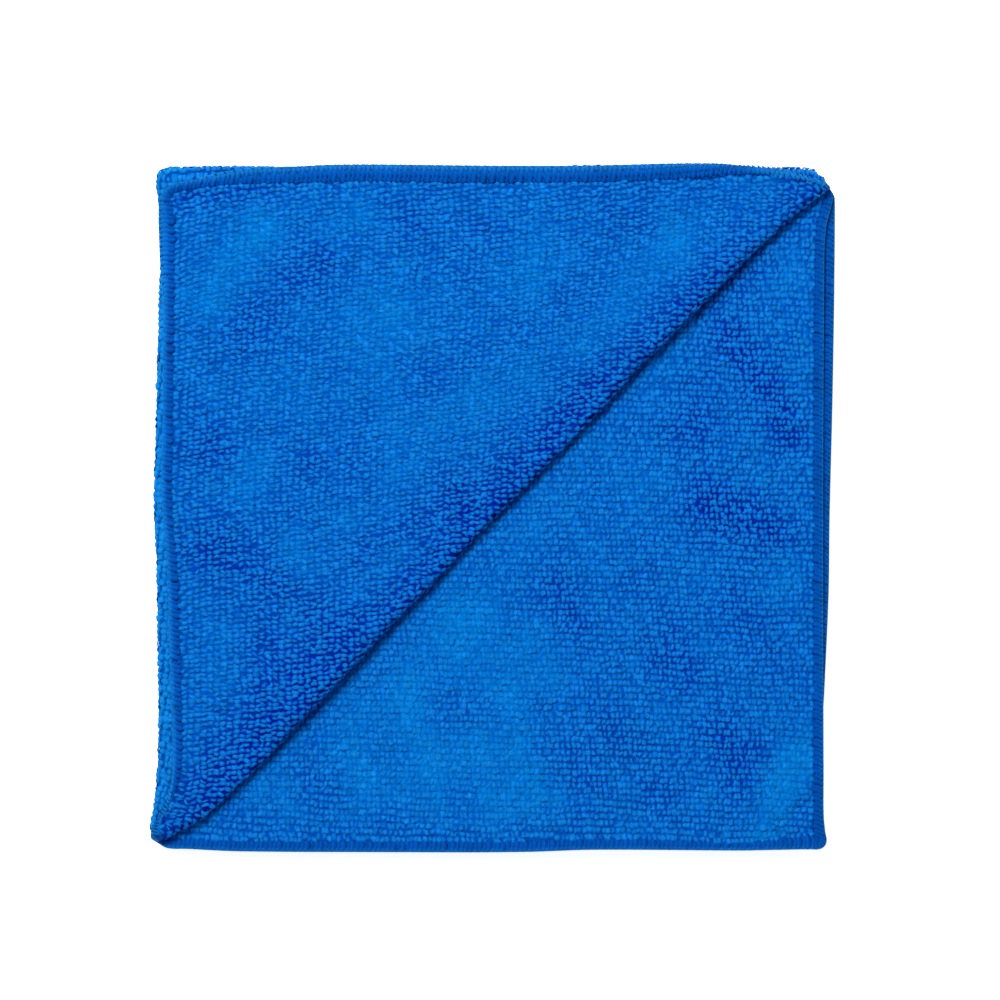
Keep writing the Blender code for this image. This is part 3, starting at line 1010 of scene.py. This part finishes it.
def growLowerLayer():
    across, along = loopSpots((0, half), (0, half), seed=22)
    napShade = napAndShadeOn(across, along)
    keep = across + along > half - pileAreas["underCorner"]
    left = along - across > pileAreas["frontSplit"] * half
    growPart("frontPileLeft", across, along, keep & left, -1, napShade, 33, wide=pileAreas["frontWide"])
    growPart("frontPileRight", across, along, keep & ~left, -1, napShade, 37, wide=pileAreas["frontWide"])


def growOuterFace():
    # around the two folded edges, and underneath
    leftFold, backFold, underFrom = (pileAreas[key] for key in ("leftFold", "backFold", "underFrom"))
    across, along = loopSpots(leftFold, (-half, half), seed=23)
    # painted light on the left fold's rounded edge
    napShade = napAndShadeAt(*planOf(across, along, skin), {}, 9) + pileAreas["leftFoldLight"]
    keep = (along > 0) | (across > underFrom)
    growPart("leftFoldPile", across, along, keep, 1, napShade, 34, tall=pileAreas["leftTall"])
    across, along = loopSpots((-half, leftFold[0]), backFold, seed=24)
    napShade = napAndShadeAt(*planOf(across, along, skin), {}, 10) + pileAreas["backBrush"]
    growLoops("backFoldPile", across, along, 1, napShade, 35, tall=pileAreas["backTall"])
    across, along = loopSpots((-half, 0), (-half, 0), seed=25)
    napShade = napAndShadeAt(*planOf(across, along, skin), {}, 12)
    keep = (across <= underFrom) & (along <= backFold[0])
    growPart("undersidePile", across, along, keep, 1, napShade, 36, low=True)


growTurnedCorner()
growLowerLayer()
growOuterFace()


# The overlocked hem

overlock = {
    "stitch": 2.7,              # length of a stitch, which has two strands
    "inward": (3.5, 2.6, 1.4, 0.4, -0.02, 0.4, 1.4, 2.6, 3.5),      # a strand's way round the edge
    "lift": (-0.50, -0.78, -0.80, -0.55, 0.0, 0.55, 0.80, 0.78, 0.50),
    "shorter": 0.25,            # every second strand ends this much nearer the edge
    "slant": 1.9,               # how far a strand runs along the hem on its way round
    "wrapHalf": (1.20, 0.08),   # half its width and thickness
    "tipShare": 0.25,           # of a thread's thickness at its two ends
    "uneven": 0.08,             # how far stitches stray along the hem
    "unevenInward": 0.06,       # and their ends, from unevenFrom inward
    "unevenFrom": 3.0,
    "unevenLift": 0.02,
    "highlightWidth": 0.4,           # the strands are painted paler where they go round the edge, a painted highlight
    "needleIn": 3.42,           # line of the needle thread, from the edge
    "needleLow": 0.30,
    "needleRise": 0.66,
    "needleRound": 0.7,         # how full its arch is, less is fuller
    "needleHalf": (0.13, 0.13),
    "needleFrom": 0.08,         # in shares of a stitch
    "needleLong": 0.84,
    "edgeIn": 0.12,             # line of the thread that ties the strands along the edge
    "edgeRise": 0.50,
    "edgeBow": 0.06,
    "edgeHalf": (0.18, 0.18),
    "edgeLong": 1.1,            # in shares of a stitch
    "looseHalf": (0.16, 0.16),
    "offFloor": 0.01,
}

# A cut end of the thread stands on the turned corner's back hem
looseEnd = {
    "side": 2,                  # number of the side, counted round the hem
    "along": 169.0,
    "from": 0.2,                # inward from the edge
    "to": 2.4,
    "bow": 0.25,
    "rise": 0.45,
}


def hemLine(run, inward):
    # place on the flat cloth, from the distance along the hem and inward from its edge
    radius = cloth["cornerRadius"]
    straight = cloth["side"] - 2 * radius
    quarter = straight + radius * math.pi / 2
    run = np.mod(run, 4 * quarter)
    side = np.floor(run / quarter)
    run = run - side * quarter
    bend = np.clip((run - straight) / radius, 0, math.pi / 2)
    inner = half - radius
    across = inner + (radius - inward) * np.cos(bend)
    along = -inner + np.minimum(run, straight) + (radius - inward) * np.sin(bend)
    turn = side * math.pi / 2
    return across * np.cos(turn) - along * np.sin(turn), across * np.sin(turn) + along * np.cos(turn)


def hemLength():
    radius = cloth["cornerRadius"]
    return 4 * (cloth["side"] - 2 * radius) + 2 * math.pi * radius


def sweepThreads(name, runs, inwards, heights, key, sides=4):
    # tubes along many short paths that are given over the flat hem, one row of points each
    halfWidth, halfThickness = overlock[key]
    count, steps = runs.shape
    ahead = np.gradient(runs, axis=1)
    into = np.gradient(inwards, axis=1)
    rise = np.gradient(heights, axis=1)
    length = np.sqrt(ahead ** 2 + into ** 2 + rise ** 2)
    flatLength = np.maximum(np.hypot(into, rise), 1e-6)
    normalInto, normalRise = -rise / flatLength, into / flatLength
    taper = np.ones(steps)
    taper[0] = taper[-1] = overlock["tipShare"]
    points = []
    uvs = []
    lengthwise = np.linspace(0, 1, steps) + np.zeros_like(runs)
    for n in range(sides):
        turn = 2 * math.pi * n / sides
        thick = halfThickness * math.cos(turn) * taper
        wide = halfWidth * math.sin(turn) * taper
        run = runs + wide * flatLength / length
        inward = inwards + normalInto * thick - wide * ahead / length * into / flatLength
        lift = heights + normalRise * thick - wide * ahead / length * rise / flatLength
        points.append(place(*hemLine(run, inward), lift))
        uvs.append(np.stack([np.full_like(runs, n / sides), lengthwise], axis=-1))
    points = np.stack(points, axis=2).reshape(-1, 3)
    uvs = np.stack(uvs, axis=2).reshape(-1, 2)
    starts = np.arange(count) * steps * sides
    triangles = (tubeFaces(steps, sides)[None] + starts[:, None, None]).reshape(-1, 3)
    points[:, 2] = np.maximum(points[:, 2], overlock["offFloor"] * mm)
    marks = {"edge": np.repeat(fade(inwards, overlock["highlightWidth"]).ravel(), sides)}
    piece = makeMesh(name, points, triangles, threadMaterial, marks, uvs)
    print(name + ":", count, "threads,", len(triangles), "triangles")
    return piece


def tubeFaces(steps, sides):
    faces = []
    for step in range(steps - 1):
        for n in range(sides):
            a, b = step * sides + n, step * sides + (n + 1) % sides
            faces += [(a, b, b + sides), (a, b + sides, a + sides)]
    top = (steps - 1) * sides
    for n in range(1, sides - 1):
        faces.append((0, n + 1, n))
        faces.append((top, top + n, top + n + 1))
    return np.array(faces)


def wrapEdge(strands, rng):
    # single strands that go round the edge, every second one a little shorter
    count = len(strands)
    inward = np.array(overlock["inward"])
    runs = strands[:, None] + overlock["slant"] * np.linspace(0, 1, len(inward))
    shorter = overlock["shorter"] * (np.arange(count) % 2)[:, None]
    uneven = rng.normal(0, overlock["unevenInward"], (count, 1))
    inwards = inward - shorter * inward / inward[0] + uneven * (inward > overlock["unevenFrom"])
    inwards *= hemShare(*hemLine(strands, 0))[:, None]
    uneven = rng.normal(0, overlock["unevenLift"], (count, 1))
    heights = np.array(overlock["lift"]) * (1 - overlock["unevenLift"] * (shorter > 0) + uneven)
    return sweepThreads("hemWraps", runs, inwards, heights, "wrapHalf")


def sewNeedleThread(starts, stitch):
    rows = []
    for face in (-1, 1):
        share = np.linspace(0, 1, 5)
        runs = starts[:, None] + stitch * (overlock["needleFrom"] + overlock["needleLong"] * share)
        inwards = overlock["needleIn"] * hemShare(*hemLine(runs, 0))
        arch = np.sin(math.pi * share) ** overlock["needleRound"]
        heights = overlock["needleLow"] + (overlock["needleRise"] - overlock["needleLow"]) * arch
        rows.append((runs, inwards, face * heights + np.zeros_like(runs)))
    rows = [np.concatenate(parts) for parts in zip(*rows)]
    return sweepThreads("hemNeedleThread", *rows, "needleHalf")


def tieEdge(starts, stitch):
    share = np.linspace(0, 1, 4)
    runs = starts[:, None] + stitch * overlock["edgeLong"] * share
    bow = overlock["edgeBow"] * np.sin(math.pi * share)
    inwards = overlock["edgeIn"] + bow + np.zeros_like(runs)
    heights = -overlock["edgeRise"] - bow + np.zeros_like(runs)
    return sweepThreads("hemEdgeThread", runs, inwards, heights, "edgeHalf")


def leaveEnd():
    share = np.linspace(0, 1, 5)
    start = looseEnd["side"] * hemLength() / 4 + looseEnd["along"]
    runs = start + looseEnd["bow"] * np.sin(math.pi * share)
    inwards = looseEnd["from"] + (looseEnd["to"] - looseEnd["from"]) * share
    heights = -skin - looseEnd["rise"] * share ** 2
    return sweepThreads("looseThreadEnd", runs[None], inwards[None], heights[None], "looseHalf")


def makeHem():
    rng = np.random.default_rng(41)
    count = round(hemLength() / overlock["stitch"])
    stitch = hemLength() / count
    starts = np.arange(count) * stitch + rng.normal(0, overlock["uneven"], count)
    strands = np.arange(2 * count) * stitch / 2 + rng.normal(0, overlock["uneven"], 2 * count)
    return [
        wrapEdge(strands, rng),
        sewNeedleThread(starts, stitch),
        tieEdge(starts, stitch),
        leaveEnd(),
    ]


hemPieces = makeHem()


# Floor, light and camera

studio = {
    "floorSide": 6.0,
    "floorColour": (0.90, 0.90, 0.90),
    "floorRoughness": 0.8,
    "floorGlow": 0.80,
    "world": 0.28,
    "worldColour": (0.85, 0.95, 1.30),
    "keyPower": 23.0,
    "keySize": 0.62,
    "keyFrom": (-0.28, 0.67, 1.36),
    "middle": (0.00217, 0.00212),      # what the camera looks straight down at
    "frameWidth": 0.292,                # seen across the picture, halfway up the cloth
    "focusHeight": 0.006,
    "distance": 1.2,
}


def makeFloor():
    mesh = bmesh.new()
    bmesh.ops.create_grid(mesh, x_segments=4, y_segments=4, size=studio["floorSide"] / 2)
    data = bpy.data.meshes.new("floor")
    mesh.to_mesh(data)
    mesh.free()
    material, tree, shader = newMaterial("paleFloor")
    setSockets(tree, shader, {
        "Base Color": studio["floorColour"],
        "Roughness": studio["floorRoughness"],
        "Emission Color": (1, 1, 1),
        "Emission Strength": studio["floorGlow"],
    })
    data.materials.append(material)
    floor = bpy.data.objects.new("floor", data)
    bpy.context.scene.collection.objects.link(floor)


def makeLight():
    world = bpy.data.worlds.new("studioWorld")
    world.use_nodes = True
    tree = world.node_tree
    backdrop = {"Color": studio["worldColour"], "Strength": studio["world"]}
    setSockets(tree, tree.nodes["Background"], backdrop)
    bpy.context.scene.world = world
    light = bpy.data.lights.new("softKey", "AREA")
    light.shape = "DISK"
    light.size = studio["keySize"]
    light.energy = studio["keyPower"]
    key = bpy.data.objects.new("softKey", light)
    key.location = studio["keyFrom"]
    key.rotation_mode = "QUATERNION"
    key.rotation_quaternion = (-Vector(studio["keyFrom"])).to_track_quat("-Z", "Y")
    bpy.context.scene.collection.objects.link(key)


def makeCamera():
    camera = bpy.data.cameras.new("camera")
    camera.sensor_width = 36
    camera.lens = camera.sensor_width * studio["distance"] / studio["frameWidth"]
    camera.clip_start = 0.05
    camera.clip_end = 20
    holder = bpy.data.objects.new("camera", camera)
    holder.location = (*studio["middle"], studio["focusHeight"] + studio["distance"])
    bpy.context.scene.collection.objects.link(holder)
    bpy.context.scene.camera = holder


makeFloor()
makeLight()
makeCamera()
bpy.context.scene.view_settings.view_transform = "Standard"
print("floor, light and camera set")
